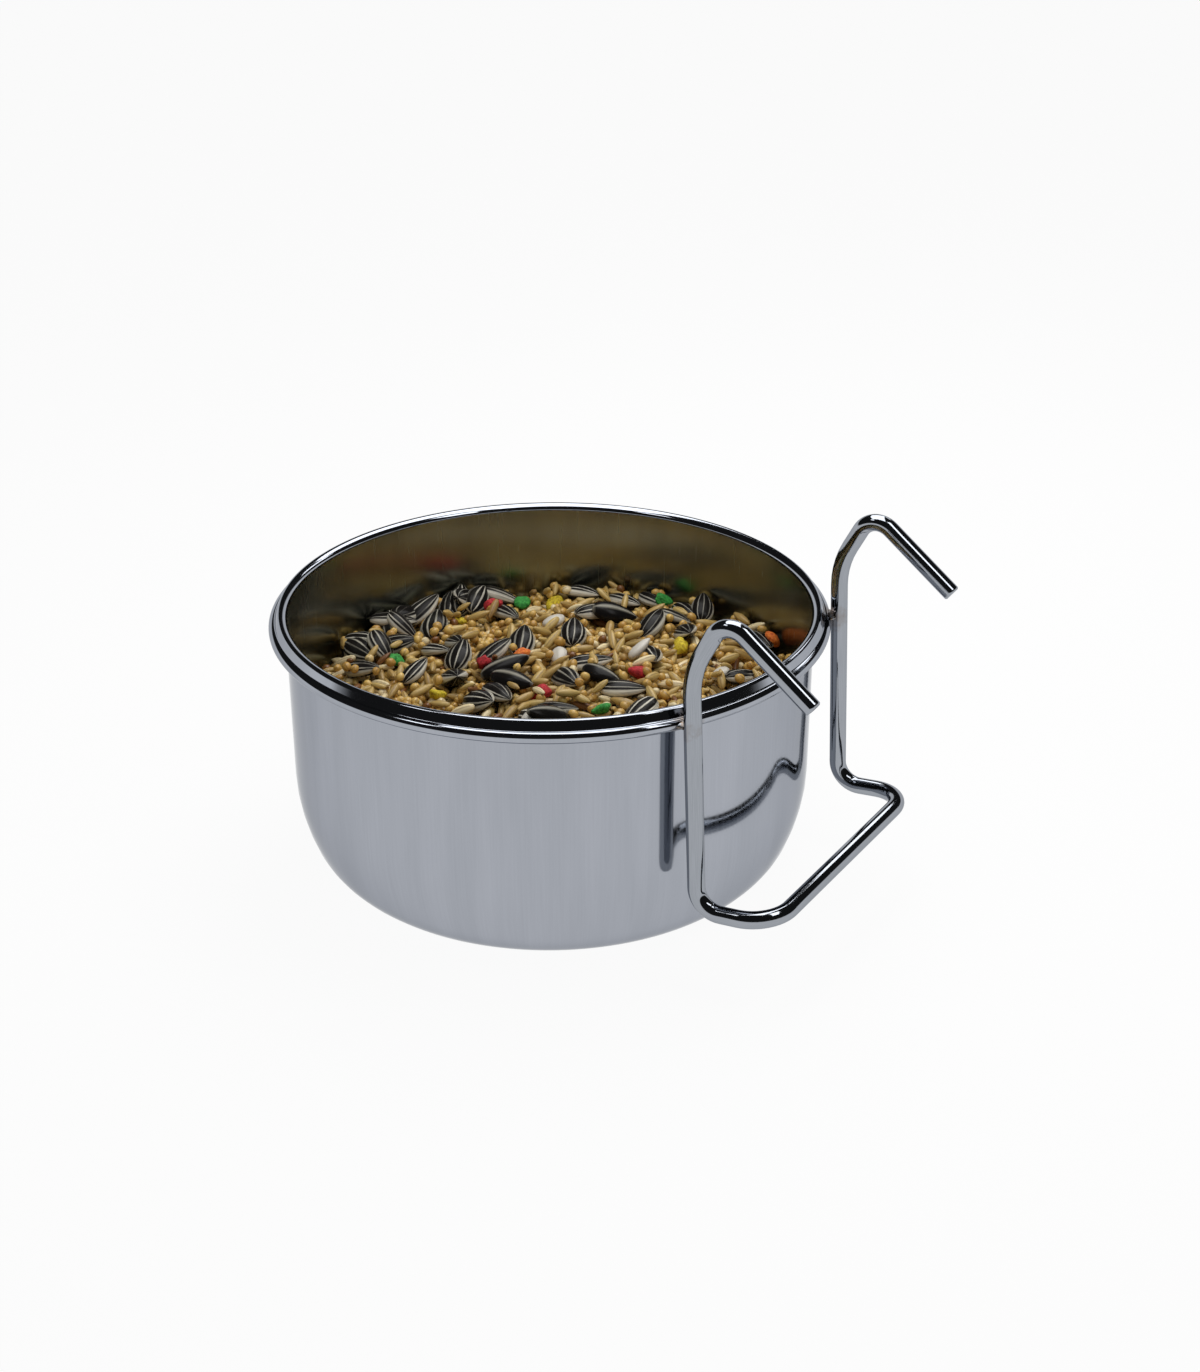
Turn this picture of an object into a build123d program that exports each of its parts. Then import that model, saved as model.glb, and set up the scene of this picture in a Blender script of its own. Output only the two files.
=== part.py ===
from build123d import *
from math import atan, cos, degrees, floor, pi, radians, sin, sqrt
import os

# Seed cup: a drawn steel bowl with a rolled rim, a bent wire hanger welded to the rim, and the seed in it.
# Millimetres and degrees. Origin: centre of the base's underside. +Z up, +X towards the hanger.

# Bowl sheet
SHEET = 0.6
RIM_DIAMETER = 120.0
CUP_HEIGHT = 60.2
WALL_DRAFT = 0.25
SIDE_RADIUS = 38.0
SIDE_ANGLE = 23.0
CORNER_RADIUS = 14.0

# Rolled rim, from the inside: roll, lip, skirt, groove, bead. The radii are on the inside of each bend.
# The skirt leans out from the vertical by its angle. The bead starts where its surface faces up by its own.
ROLL_BEND = 0.94
LIP_BEND = 0.1
SKIRT_ANGLE = 21.0
GROOVE_BEND = 0.35
BEAD_START_ANGLE = 85.0
BEAD_BEND = 0.6
BEAD_DROP = 3.2
CURL_END_HEADING = 100.0

# Wire hanger
WIRE_DIAMETER = 3.6
WIRE_SPACING = 63.2
WELD_GAP = 0.1
UPRIGHT_LEAN = 2.5
KNEE_RISE = 8.7
KNEE_RADIUS = 18.0
SLANT_REACH = 7.0
SLANT_RISE = 13.2
APEX_RADIUS = 4.5
ARM_REACH = 18.9
ARM_DROP = 14.4
HEEL_HEIGHT = 16.9
HEEL_RADIUS = 5.0
LEG_REACH = 16.9
LEG_RISE = 1.8
TOE_RADIUS = 7.7
TIP_CHAMFER = 0.3

# Welds: an oval pad on the bead, drawn in towards the wire
WELD_HALF_WIDTH = 2.6
WELD_HALF_HEIGHT = 0.9
WELD_TAPER = 0.7
WELD_STAND = 1.0

# Seed: the settled bed, and one layer of seeds on it
BED_EDGE_HEIGHT = 34.5
BED_CROWN = 6.0
SEED_CLEARANCE = 0.3
SUNFLOWER_LENGTH = 11.5
SUNFLOWER_WIDTH = 6.0
SUNFLOWER_THICKNESS = 3.6
SAFFLOWER_LENGTH = 8.0
SAFFLOWER_WIDTH = 4.4
SAFFLOWER_THICKNESS = 3.4
GROAT_LENGTH = 7.5
GROAT_WIDTH = 2.8
GROAT_THICKNESS = 2.4
MILLET_LENGTH = 2.8
MILLET_WIDTH = 2.5
MILLET_THICKNESS = 2.4
PELLET_LENGTH = 5.0
PELLET_WIDTH = 4.6
PELLET_THICKNESS = 3.0
SEED_SIDES = 6
PELLET_NODES = ("pellets_green", "pellets_red", "pellets_yellow", "pellets_orange")
# What each slot on the bed holds, from the middle outwards, over and over. The middle takes a small piece.
SLOT_PATTERN = ("pellet", "striped", "groats", "striped", "millet", "striped", "black", "striped", "pellet",
                "groats", "striped", "white", "striped", "millet", "striped", "groats", "striped")

# Outlines of the seeds, tail to tip: place along the length and width there, as shares of the whole
SUNFLOWER_OUTLINE = ((-0.5, 0.4), (-0.2, 1.0), (0.2, 0.8), (0.5, 0.0))
GROAT_OUTLINE = ((-0.5, 0.0), (-0.15, 1.0), (0.2, 0.9), (0.5, 0.0))
MILLET_OUTLINE = ((-0.5, 0.0), (0.0, 1.0), (0.5, 0.0))
PELLET_OUTLINE = ((-0.5, 0.6), (-0.1, 1.0), (0.5, 0.5))

# Sizes that follow from those above
HALF_SHEET = SHEET / 2
RIM_RADIUS = RIM_DIAMETER / 2
WIRE_RADIUS = WIRE_DIAMETER / 2
ROLL_MID = ROLL_BEND + HALF_SHEET
LIP_MID = LIP_BEND + HALF_SHEET
GROOVE_MID = GROOVE_BEND + HALF_SHEET
BEAD_MID = BEAD_BEND + HALF_SHEET
CORNER_MID = CORNER_RADIUS - HALF_SHEET
SIDE_MID = SIDE_RADIUS - HALF_SHEET
BEAD_HEIGHT = CUP_HEIGHT - BEAD_DROP
BEAD_CENTRE_RADIUS = RIM_RADIUS - BEAD_MID - HALF_SHEET
SUNFLOWER_SIZE = (SUNFLOWER_LENGTH, SUNFLOWER_WIDTH, SUNFLOWER_THICKNESS)
SAFFLOWER_SIZE = (SAFFLOWER_LENGTH, SAFFLOWER_WIDTH, SAFFLOWER_THICKNESS)
GROAT_SIZE = (GROAT_LENGTH, GROAT_WIDTH, GROAT_THICKNESS)
MILLET_SIZE = (MILLET_LENGTH, MILLET_WIDTH, MILLET_THICKNESS)
PELLET_SIZE = (PELLET_LENGTH, PELLET_WIDTH, PELLET_THICKNESS)
SEED_SIZES = (SUNFLOWER_SIZE, SAFFLOWER_SIZE, GROAT_SIZE, MILLET_SIZE, PELLET_SIZE)


def sin_deg(angle):
    return sin(radians(angle))


def cos_deg(angle):
    return cos(radians(angle))


def run(length):
    """Straight move along a sheet's mid-line."""
    return length, 0.0


def bend(radius, turn):
    """Curved move along a sheet's mid-line, to the left where the turn is positive."""
    return radius, turn


def beside(start, heading, moves, offset):
    """Edges of the line that keeps one distance to the left of a path of runs and bends."""
    point = Vector(*start)
    edges = []
    for size, turn in moves:
        along = Vector(cos_deg(heading), sin_deg(heading))
        left = Vector(-along.Y, along.X)
        first = point + left * offset
        if turn:
            middle = JernArc(point, along, size, turn)
            inward = offset if turn > 0 else -offset
            edges.append(JernArc(first, along, size - inward, turn))
            point = middle @ 1
        else:
            edges.append(Line(first, first + along * size))
            point = point + along * size
        heading += turn
    return edges


def bowl_moves():
    """Mid-line of the bowl's sheet, from the axis out along the base, up the wall and round the rim."""
    groove_distance = GROOVE_MID + BEAD_MID
    groove_centre_radius = BEAD_CENTRE_RADIUS + groove_distance * cos_deg(BEAD_START_ANGLE)
    groove_centre_height = BEAD_HEIGHT + groove_distance * sin_deg(BEAD_START_ANGLE)
    skirt_top = CUP_HEIGHT - HALF_SHEET - LIP_MID * (1 - sin_deg(SKIRT_ANGLE))
    skirt_foot = groove_centre_height - GROOVE_MID * sin_deg(SKIRT_ANGLE)
    skirt_length = (skirt_top - skirt_foot) / cos_deg(SKIRT_ANGLE)
    skirt_foot_radius = groove_centre_radius - GROOVE_MID * cos_deg(SKIRT_ANGLE)
    crest_radius = skirt_foot_radius - skirt_length * sin_deg(SKIRT_ANGLE) - LIP_MID * cos_deg(SKIRT_ANGLE)
    wall_top_radius = crest_radius - ROLL_MID * cos_deg(WALL_DRAFT)
    wall_top_height = CUP_HEIGHT - HALF_SHEET - ROLL_MID * (1 - sin_deg(WALL_DRAFT))

    corner_rise = CORNER_MID * (1 - sin_deg(SIDE_ANGLE))
    side_rise = SIDE_MID * (sin_deg(SIDE_ANGLE) - sin_deg(WALL_DRAFT))
    side_reach = SIDE_MID * (cos_deg(WALL_DRAFT) - cos_deg(SIDE_ANGLE))
    wall_length = (wall_top_height - HALF_SHEET - corner_rise - side_rise) / cos_deg(WALL_DRAFT)
    wall_reach = wall_length * sin_deg(WALL_DRAFT)
    base_radius = wall_top_radius - wall_reach - side_reach - CORNER_MID * cos_deg(SIDE_ANGLE)

    cup = [
        run(base_radius),
        bend(CORNER_MID, 90 - SIDE_ANGLE),
        bend(SIDE_MID, SIDE_ANGLE - WALL_DRAFT),
        run(wall_length),
    ]
    rim = [
        bend(ROLL_MID, WALL_DRAFT - 90),
        bend(LIP_MID, SKIRT_ANGLE - 90),
        run(skirt_length),
        bend(GROOVE_MID, BEAD_START_ANGLE - SKIRT_ANGLE),
        bend(BEAD_MID, CURL_END_HEADING - 270 - BEAD_START_ANGLE),
    ]
    return cup, rim


def turned(edges):
    """Solid of revolution about Z of a closed outline drawn as radius and height."""
    section = Plane.XZ * make_face(edges)
    return revolve(section, Axis.Z)


def bowl_shell():
    cup, rim = bowl_moves()
    start = (0, HALF_SHEET)
    inside = beside(start, 0, cup + rim, HALF_SHEET)
    outside = beside(start, 0, cup + rim, -HALF_SHEET)
    axis_end = Line(outside[0] @ 0, inside[0] @ 0)
    curl_end = Line(inside[-1] @ 1, outside[-1] @ 1)
    return turned(inside + outside + [axis_end, curl_end])


def upright_x():
    """Distance out from the axis at which the uprights just clear the bead, at the bead's height."""
    return sqrt((RIM_RADIUS + WELD_GAP + WIRE_RADIUS) ** 2 - (WIRE_SPACING / 2) ** 2)


def hook_side(side):
    """Corner points of one half of the hanger, from its tip down to the cross bar."""
    y = side * WIRE_SPACING / 2
    lean = sin_deg(UPRIGHT_LEAN) / cos_deg(UPRIGHT_LEAN)
    knee_height = CUP_HEIGHT + KNEE_RISE
    knee = Vector(upright_x() - lean * (knee_height - BEAD_HEIGHT), y, knee_height)
    apex = knee + Vector(SLANT_REACH, 0, SLANT_RISE)
    tip = apex + Vector(ARM_REACH, 0, -ARM_DROP)
    heel = Vector(upright_x() + lean * (BEAD_HEIGHT - HEEL_HEIGHT), y, HEEL_HEIGHT)
    toe = heel + Vector(LEG_REACH, 0, LEG_RISE)
    return [tip, apex, knee, heel, toe]


def wire_hanger():
    right = hook_side(-1)
    left = hook_side(1)
    radii = [APEX_RADIUS, KNEE_RADIUS, HEEL_RADIUS, TOE_RADIUS]
    path = FilletPolyline(*right, *reversed(left), radius=radii + radii[::-1])
    section = Plane(path @ 0, z_dir=path % 0) * Circle(WIRE_RADIUS)
    wire = sweep(section, path)
    ends = [face.edges() for face in wire.faces().filter_by(GeomType.PLANE)]
    return chamfer([edge for end in ends for edge in end], TIP_CHAMFER)


def weld(side, bowl, wire):
    """Weld pad between one upright and the bead, trimmed to both."""
    outward = Vector(upright_x(), side * WIRE_SPACING / 2, 0).normalized()
    seat = outward * (RIM_RADIUS - HALF_SHEET) + Vector(0, 0, BEAD_HEIGHT)
    across = Vector(-outward.Y, outward.X, 0)
    foot = Plane(seat, x_dir=across, z_dir=outward)
    crown = foot.offset(HALF_SHEET + WELD_STAND)
    pad = loft([
        foot * Ellipse(WELD_HALF_WIDTH, WELD_HALF_HEIGHT),
        crown * Ellipse(WELD_HALF_WIDTH * WELD_TAPER, WELD_HALF_HEIGHT * WELD_TAPER),
    ])
    return pad - bowl - wire


def seed_bed():
    """Bulk of the seed: the bowl's inside less a clearance, under a shallow crown."""
    cup, _ = bowl_moves()
    beside_bowl = beside((0, HALF_SHEET), 0, cup, HALF_SHEET + SEED_CLEARANCE)
    wall = beside_bowl[-1]
    wall_foot = wall @ 0
    wall_run = (BED_EDGE_HEIGHT - wall_foot.Y) / cos_deg(WALL_DRAFT)
    edge = wall_foot + (wall % 0) * wall_run
    crown = Vector(0, BED_EDGE_HEIGHT + BED_CROWN)
    mirror_edge = Vector(-edge.X, edge.Y)
    whole_crown = ThreePointArc(edge, crown, mirror_edge)
    outline = beside_bowl[:-1] + [
        Line(wall_foot, edge),
        whole_crown.trim(0, 0.5),
        Line(crown, beside_bowl[0] @ 0),
    ]
    return turned(outline), edge.X


def seed_solid(size, outline):
    """Grain lying on z = 0 with its tip at +X: the hull of six-sided rings, or points, along its length."""
    length, width, thickness = size
    angles = [2 * pi * (k + 0.5) / SEED_SIDES for k in range(SEED_SIDES)]
    corners = []
    for place, share in outline:
        for angle in angles if share else angles[:1]:
            y = share * width / 2 * cos(angle)
            z = thickness / 2 * (1 + share * sin(angle))
            corners.append((place * length, y, z))
    return ConvexPolyhedron(corners)


def seed_slots(bed_radius):
    """Places for seeds on the bed: rings of slots that take the largest seed, each a radius and a turn."""
    slot_length = max(size[0] for size in SEED_SIZES) + SEED_CLEARANCE
    slot_width = max(size[1] for size in SEED_SIZES) + SEED_CLEARANCE
    outer_ring = sqrt(bed_radius**2 - (slot_length / 2) ** 2) - slot_width / 2
    rings = floor(outer_ring / slot_width)
    slots = [(0.0, 0.0)]
    for ring in range(1, rings + 1):
        radius = outer_ring * ring / rings
        half_turn = degrees(atan(slot_length / 2 / (radius - slot_width / 2)))
        count = floor(180 / half_turn)
        slots += [(radius, 360 * (k + ring / 2) / count) for k in range(count)]
    return slots, slot_length, slot_width


def on_bed(radius, turn, bed_radius):
    """Plane on the bed's crown, just clear of it, with X along the ring and Z square to the crown."""
    crown_radius = (bed_radius**2 + BED_CROWN**2) / (2 * BED_CROWN)
    crown_centre = Vector(0, 0, BED_EDGE_HEIGHT + BED_CROWN - crown_radius)
    rise = sqrt(crown_radius**2 - radius**2)
    outward = Vector(radius * cos_deg(turn), radius * sin_deg(turn), rise).normalized()
    around = Vector(-sin_deg(turn), cos_deg(turn), 0)
    return Plane(crown_centre + outward * (crown_radius + SEED_CLEARANCE), x_dir=around, z_dir=outward)


def grid(plane, solid, size, length, width):
    """Copies of a grain in even rows that fill a slot."""
    columns = floor(length / (size[0] + SEED_CLEARANCE))
    rows = floor(width / (size[1] + SEED_CLEARANCE))
    step_x = length / columns
    step_y = width / rows
    places = [((i - (columns - 1) / 2) * step_x, (j - (rows - 1) / 2) * step_y)
              for i in range(columns) for j in range(rows)]
    return [plane * Pos(x, y, 0) * solid for x, y in places]


def seed_layer(bed_radius):
    """The seeds that show, by node: each slot on the bed takes a kind from the repeating pattern."""
    sunflower = seed_solid(SUNFLOWER_SIZE, SUNFLOWER_OUTLINE)
    safflower = seed_solid(SAFFLOWER_SIZE, SUNFLOWER_OUTLINE)
    groat = seed_solid(GROAT_SIZE, GROAT_OUTLINE)
    millet = seed_solid(MILLET_SIZE, MILLET_OUTLINE)
    pellet = seed_solid(PELLET_SIZE, PELLET_OUTLINE)
    names = ["sunflower_striped", "sunflower_black", "safflower_white", "oat_groats", "millet_grains"]
    layer = {name: [] for name in names + list(PELLET_NODES)}
    slots, slot_length, slot_width = seed_slots(bed_radius)
    pellets_placed = 0
    for index, (radius, turn) in enumerate(slots):
        plane = on_bed(radius, turn, bed_radius)
        facing = Rot(0, 0, 180 * (index % 2))
        kind = SLOT_PATTERN[index % len(SLOT_PATTERN)]
        if kind == "striped":
            layer["sunflower_striped"].append(plane * facing * sunflower)
        elif kind == "black":
            layer["sunflower_black"].append(plane * facing * sunflower)
        elif kind == "white":
            layer["safflower_white"].append(plane * facing * safflower)
        elif kind == "groats":
            layer["oat_groats"] += grid(plane, groat, GROAT_SIZE, slot_length, slot_width)
        elif kind == "millet":
            layer["millet_grains"] += grid(plane, millet, MILLET_SIZE, slot_length, slot_width)
        else:
            colour = PELLET_NODES[pellets_placed % len(PELLET_NODES)]
            layer[colour].append(plane * facing * pellet)
            pellets_placed += 1
    return layer


def main():
    os.makedirs("parts", exist_ok=True)
    bowl = bowl_shell()
    wire = wire_hanger()
    bed, bed_radius = seed_bed()
    nodes = {
        "bowl_shell": bowl,
        "wire_hanger": wire,
        "weld_left": weld(1, bowl, wire),
        "weld_right": weld(-1, bowl, wire),
        "seed_bed": bed,
    }
    for name, seeds in seed_layer(bed_radius).items():
        nodes[name] = Compound([solid for seed in seeds for solid in seed.solids()])
    for name, shape in nodes.items():
        export_step(shape, f"parts/{name}.step")


main()
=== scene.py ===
from collections import namedtuple

import bpy
import numpy as np
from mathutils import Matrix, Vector

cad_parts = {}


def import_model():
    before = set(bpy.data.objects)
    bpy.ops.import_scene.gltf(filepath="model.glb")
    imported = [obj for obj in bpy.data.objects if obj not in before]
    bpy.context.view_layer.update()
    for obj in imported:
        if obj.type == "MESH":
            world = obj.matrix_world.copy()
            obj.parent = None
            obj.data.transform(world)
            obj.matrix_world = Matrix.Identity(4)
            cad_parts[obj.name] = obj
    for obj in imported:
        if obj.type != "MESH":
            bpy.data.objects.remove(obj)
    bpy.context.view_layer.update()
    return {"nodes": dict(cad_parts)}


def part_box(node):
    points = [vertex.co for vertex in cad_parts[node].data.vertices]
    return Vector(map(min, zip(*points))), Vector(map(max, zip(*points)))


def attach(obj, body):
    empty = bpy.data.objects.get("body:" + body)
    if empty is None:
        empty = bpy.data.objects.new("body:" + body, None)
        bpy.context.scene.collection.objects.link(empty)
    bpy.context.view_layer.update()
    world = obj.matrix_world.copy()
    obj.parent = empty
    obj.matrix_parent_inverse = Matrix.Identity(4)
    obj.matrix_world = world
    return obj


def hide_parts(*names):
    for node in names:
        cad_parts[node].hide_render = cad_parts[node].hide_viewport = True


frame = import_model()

# Seed cup: a drawn steel bowl with a rolled rim, a bent wire hanger and a heap of mixed seed.
# Sizes are millimetres and degrees, and become metres where a mesh is made.
MM = 0.001

# Camera of the photo: where it stands, where it looks, and its focal length in pixels of the whole frame
CAMERA_PLACE = np.array([232.1, -352.4, 244.0])
CAMERA_FORWARD = np.array([-0.4758, 0.7637, -0.4363])
FOCAL_PIXELS = 2146.8
FRAME_WIDTH = 1200
FRAME_HEIGHT = 1372
SENSOR = 36.0
CLIP_START = 10.0

# Bowl: the sheet, then its wall, side and corner
RIM_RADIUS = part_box("bowl_shell")[1].x / MM
CUP_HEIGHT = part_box("bowl_shell")[1].z / MM
SHEET = 0.6
WALL_DRAFT = 0.25
SIDE_RADIUS = 38.0
SIDE_ANGLE = 23.0
CORNER_RADIUS = 14.0

# Rolled rim: inside radii of its bends and the headings between them, from the wall to the end of the curl
ROLL_BEND = 0.94
LIP_BEND = 0.1
SKIRT_ANGLE = 21.0
GROOVE_BEND = 0.35
BEAD_START_ANGLE = 85.0
BEAD_BEND = 0.6
BEAD_DROP = 3.2
BEAD_HEIGHT = CUP_HEIGHT - BEAD_DROP
CURL_END_HEADING = 100.0

# Wire hanger: corners of its path from tip to cross bar, and the bends there
WIRE_DIAMETER = 3.6
WIRE_SPACING = 63.2
WELD_GAP = 0.1
UPRIGHT_LEAN = 2.5
KNEE_RISE = 8.7
KNEE_RADIUS = 18.0
SLANT_REACH = 7.0
SLANT_RISE = 13.2
APEX_RADIUS = 4.5
ARM_REACH = 18.9
ARM_DROP = 14.4
HEEL_HEIGHT = 16.9
HEEL_RADIUS = 5.0
LEG_REACH = 16.9
LEG_RISE = 1.8
TOE_RADIUS = 7.7
TIP_CHAMFER = 0.3

# Distance from the axis at which the uprights just clear the bead: sqrt(reach^2 - half spacing^2)
UPRIGHT_X = np.sqrt((RIM_RADIUS + WELD_GAP + WIRE_DIAMETER / 2) ** 2 - (WIRE_SPACING / 2) ** 2)

# Fineness of the meshes: sides of a full turn, degrees of a step on an arc, and length of a step on a run
BOWL_SIDES = 240
WIRE_SIDES = 40
BED_SIDES = 120
ARC_STEP = 7.5
RUN_STEP = 3.0
BED_TOP_STEP = 2.0
OUTLINE_SAMPLES = 401

# Heap of seed: level at the wall, rise to the middle, slope to the picture's right, depth of loose grain
HEAP_EDGE = 38.2
HEAP_CROWN = 5.0
HEAP_TILT = 1.5
HEAP_DEPTH = 4.0

# Bulk below the heap: how far its top lies under that level, its reach, its wall's top, gap to the bowl
BED_SINK = 3.2
BED_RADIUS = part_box("seed_bed")[1].x / MM
BED_WALL_TOP = 30.0
SEED_CLEARANCE = 0.3

# How a grain settles: pitch of the height field, steepest slope it takes, share of the field that it clears,
# lift up to which it lies on the slope, points too few for that, and most height over the filled level
FIELD_STEP = 0.4
STEEPEST = 0.6
SETTLED_SHARE = 0.8
LYING = np.radians(25)
FEW_POINTS = 3
HIGHEST = 1.7

# How grains are strewn: start of the random draws, places that a small grain chooses from, step of a pull
# from the wall, and small grains under and over the large seeds
RANDOM_SEED = 11
LOW_PLACES = 6
PULL_IN = 0.985
GRAINS_UNDER = {"groat": 850, "millet": 1350}
GRAINS_OVER = {"groat": 290, "millet": 500}

# Kinds of seed: length, width and thickness; taper, point and fullness of the outline; sharpness of the two
# edges; lumpiness; how much the size differs from seed to seed; rings and sides of the mesh
Kind = namedtuple("Kind", "size outline lens lumpy spread mesh")
KINDS = {
    "striped": Kind((10.2, 6.1, 3.8), (0.28, 0.20, 0.85), 0.12, 0.06, 0.12, (11, 14)),
    "black": Kind((10.6, 5.6, 3.8), (0.24, 0.20, 0.85), 0.12, 0.05, 0.12, (11, 14)),
    "white": Kind((6.8, 4.4, 2.6), (0.30, 0.25, 0.85), 0.15, 0.05, 0.12, (9, 12)),
    "groat": Kind((5.2, 1.75, 1.6), (0.12, 0.25, 0.95), 0.0, 0.10, 0.24, (6, 7)),
    "millet": Kind((2.15, 1.95, 1.9), (0.10, 0.05, 1.0), 0.0, 0.05, 0.16, (5, 8)),
}

# Dyed crumbs: size, and colour where the dye is thick and where it is thin. They share one lumpy form.
CRUMBS = {
    "green": ((4.3, 3.8, 2.3), (0.01, 0.17, 0.02), (0.06, 0.42, 0.07)),
    "red": ((4.2, 3.5, 2.4), (0.30, 0.008, 0.012), (0.62, 0.03, 0.04)),
    "yellow": ((4.0, 3.6, 2.2), (0.42, 0.28, 0.006), (0.78, 0.62, 0.03)),
    "orange": ((4.3, 3.8, 2.4), (0.55, 0.08, 0.006), (0.90, 0.25, 0.03)),
}
CRUMB_FORM = ((0.0, 0.0, 1.0), 0.0, 0.45, 0.12, (9, 12))
for dye, (crumb_size, _, _) in CRUMBS.items():
    KINDS[dye] = Kind(crumb_size, *CRUMB_FORM)

# Lumps: how many waves cross a grain, and how close they are
LUMP_WAVES = 4
LUMP_PITCH = 2.2

# Seeds that the photo shows: pixel across and down, slant of the pointed end, lift of that end
SEEN = {
    "striped": [
        (369, 626, 95, 22), (394, 627, 8, 5), (403, 633, -5, 0), (396, 645, 8, 5), (351, 646, 0, 0),
        (361, 654, -15, 5), (363, 668, -5, 10), (382, 653, -30, 0), (406, 620, 40, 20), (422, 616, 20, 25),
        (435, 626, 65, 18), (435, 602, 60, 28), (454, 603, 70, 25), (468, 605, 30, 5), (478, 606, 42, 10),
        (500, 599, 2, 0), (506, 612, -22, 0), (584, 596, -14, 0), (573, 636, 82, 18), (522, 643, 70, 15),
        (495, 655, 25, 20), (437, 648, -18, 5), (457, 641, -50, 15), (459, 656, 60, 20), (415, 673, 35, 5),
        (454, 680, -68, 20), (498, 695, -35, 5), (480, 705, -30, 20), (557, 706, -5, 5), (567, 678, -40, 0),
        (625, 601, -18, 0), (658, 598, -18, 0), (686, 612, -30, 5), (713, 611, 80, 25), (652, 627, 32, 20),
        (673, 619, -14, 0), (596, 613, 10, 0), (686, 636, -60, 10), (650, 656, -55, 0), (623, 688, -4, 0),
        (742, 679, 8, 0), (589, 660, 4, 0), (770, 642, -40, 10),
    ],
    "black": [(512, 682, -14, 0), (602, 675, -18, 0), (615, 617, 2, 0), (506, 670, 10, 20)],
    "white": [(555, 621, 30, 15), (559, 656, -82, 20), (721, 676, 52, 0), (640, 655, 15, 0)],
    "green": [(397, 657, 10, 0), (521, 601, 20, 0), (663, 604, 0, 0), (602, 711, 30, 0)],
    "red": [(493, 611, 0, 0), (484, 669, 60, 0), (540, 692, 20, 0), (639, 674, 0, 0)],
    "yellow": [(462, 616, 0, 0), (554, 597, 10, 0), (436, 694, 0, 0), (680, 644, 30, 0)],
    "orange": [(521, 660, 10, 0), (782, 645, -30, 0)],
    "millet": [(732, 601, 0, 0), (742, 600, 0, 0), (776, 612, 0, 0), (795, 632, 0, 0)],
}
PIXEL_ROUNDS = 6

# Seeds on the part of the heap that the front wall hides: how many, how far behind the axis that part ends,
# their greatest lift, and how many places are drawn for each kind
HIDDEN = {"striped": 24, "black": 3, "white": 3, "green": 2, "red": 2, "yellow": 2, "orange": 2}
HIDDEN_DEPTH = -20.0
HIDDEN_LIFT = np.radians(15)
HIDDEN_DRAWS = 400

# Finishes: tones are a dark and a light colour, a range is a change's start and end, a bump is strength and
# depth in metres, and streaks are the pitch of noise round and along. Other scales are per metre.
FINE_DETAIL = 3.0
NOISE_RANGE = (0.3, 0.7)
SPECK_RANGE = (0.35, 0.65)

# Satin steel: colours outside, edge tint, gloss, brush lines and cloudy patches
STEEL_TONES = ((0.335, 0.355, 0.395), (0.385, 0.405, 0.45))
STEEL_EDGE = (0.62, 0.63, 0.65, 1)
OUTSIDE_ROUGHNESS = 0.09
RIM_ROUGHNESS = 0.06
BRUSH_ANISOTROPY = 0.35
BRUSH_SCALE = 2600.0
BRUSH_STRETCH = (1, 1, 0.02)
BRUSH_GLOSS = 0.12
BRUSH_SHARE = 0.3
BRUSH_BUMP = (0.06, 0.00002)
PATCH_SCALE = 130.0
PATCH_STRETCH = (1, 1, 0.15)
PATCH_SHARE = 0.7

# The bowl's inside: roughness, and colours painted darker and warmer, as painted shade and a painted tint of
# the seed's reflection
INSIDE_ROUGHNESS = 0.25
LINING_PAINTED_SHADE_TONES = ((0.24, 0.25, 0.21), (0.31, 0.325, 0.27))

# Polished wire: colours, lines from drawing, and pits
WIRE_DARK = (0.30, 0.32, 0.35)
WIRE_LIGHT = (0.34, 0.36, 0.395)
WIRE_ROUGHNESS = 0.05
DRAWN_LINES = (60, 0.15, 1)
DRAWN_ROUGHNESS = 0.03
PIT_SCALE = 1400.0
PIT_RANGE = (0.6, 0.75)
PIT_ROUGHNESS = 0.16
PIT_BUMP = (0.008, 0.00003)

# Welds, and the brown tint of their heat: the range it fades over, its strength and its ragged edge
WELD_ROUGHNESS = 0.35
WELD_SCALE = 1500.0
WELD_BUMP = (0.5, 0.0001)
TINT_BROWN = (0.16, 0.105, 0.06)
TINT_RANGE = (0.0025, 0.0055)
TINT_MOST = 0.7
TINT_RAGGED_SCALE = 900.0
TINT_RAGGED_DEPTH = 0.003

# Factors that draw another random number from a seed's own, and the shift of its streaks
STRIPE_DRAW = 7.31
PALE_DRAW = 13.7
ODD_DRAW = 17.3
STREAK_SHIFT = 50.0

# Striped hull: stripes as limits on a wave, and edges as limits on a cosine
STRIPE_COUNT = 10
STRIPE_WOBBLE = 2.4
STRIPE_LIMITS = (0.64, 0.97)
STRIPE_SOFT = (-0.15, 0.25)
STRIPE_FAINT = 0.12
FADE_RANGE = (0.36, 0.56)
EDGE_RANGE = (0.88, 0.95)
WORN_RANGE = (0.25, 0.6)
WORN_LEAST = 0.45
HULL_STREAKS = (40.0, 3.0)
WOBBLE_STREAKS = (5.0, 2.0)
FADE_STREAKS = (8.0, 1.2)
HULL_SHINE = 0.12
HULL_ROUGHNESS = 0.24
HULL_BUMP = (0.35, 0.00015)
HULL_TONES = ((0.005, 0.005, 0.006), (0.016, 0.013, 0.010))
HULL_CREAM = (0.84, 0.79, 0.67)
HULL_GREY = (0.52, 0.49, 0.40)
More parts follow.
